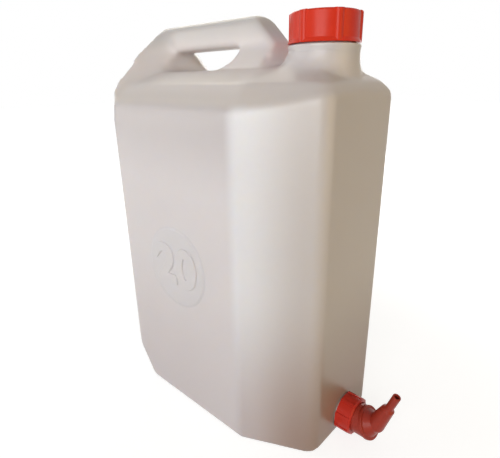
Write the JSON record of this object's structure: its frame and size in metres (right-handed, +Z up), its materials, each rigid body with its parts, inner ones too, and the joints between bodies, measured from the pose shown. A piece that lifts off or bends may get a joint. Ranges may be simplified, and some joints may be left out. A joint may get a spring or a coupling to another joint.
{
  "type": "carboy with spigot",
  "caption": "Upright translucent plastic carboy with a moulded carry handle, a ribbed screw cap on its neck and a swivelling spigot low on the front for drawing off liquid.",
  "frame": {"origin": "middle of the base, on the floor", "axes": "+X out through the spigot, +Z up the neck, the broad faces look along +Y and -Y"},
  "size_m": [0.3727, 0.2058, 0.49],
  "materials": {
    "natural_plastic": "translucent natural polyethylene, satin",
    "red_cap": "moulded red, semi gloss",
    "red_spigot": "moulded red, semi gloss",
    "seal_foam": "soft pale foam",
    "gasket_rubber": "black rubber"
  },
  "bodies": {
    "carboy": {"carboy_body": "natural_plastic"},
    "seal": {"cap_seal": "seal_foam"},
    "cap": {"cap": "red_cap"},
    "tap": {"spigot_body": "red_spigot", "spigot_gasket": "gasket_rubber"},
    "nut": {"spigot_nut": "red_spigot"},
    "spout": {"spigot_spout": "red_spigot", "spout_o_ring": "gasket_rubber"}
  },
  "joints": [
    {"name": "cap_lift", "type": "slide", "parent": "carboy", "child": "seal", "axis": [0, 0, 1], "range_m": [0, 0.0241]},
    {"name": "cap_turn", "type": "hinge", "parent": "seal", "child": "cap", "pos_m": [0.1005, 0, 0.47], "axis": [0, 0, 1], "range_deg": [0, 1440]},
    {"name": "tap_draw", "type": "slide", "parent": "carboy", "child": "tap", "axis": [1, 0, 0], "range_m": [0, 0.0141]},
    {"name": "nut_turn", "type": "hinge", "parent": "tap", "child": "nut", "pos_m": [0.16, 0, 0.027], "axis": [1, 0, 0], "range_deg": [0, 1260]},
    {"name": "spout_swivel", "type": "hinge", "parent": "tap", "child": "spout", "pos_m": [0.1865, 0, 0.027], "axis": [0.8829, 0, 0.4695], "range_deg": [0, 180]}
  ],
  "couplings": [
    {"joint": "cap_lift", "follows": "cap_turn", "m_per_rad": 0.00095493},
    {"joint": "tap_draw", "follows": "nut_turn", "m_per_rad": 0.00063662}
  ]
}
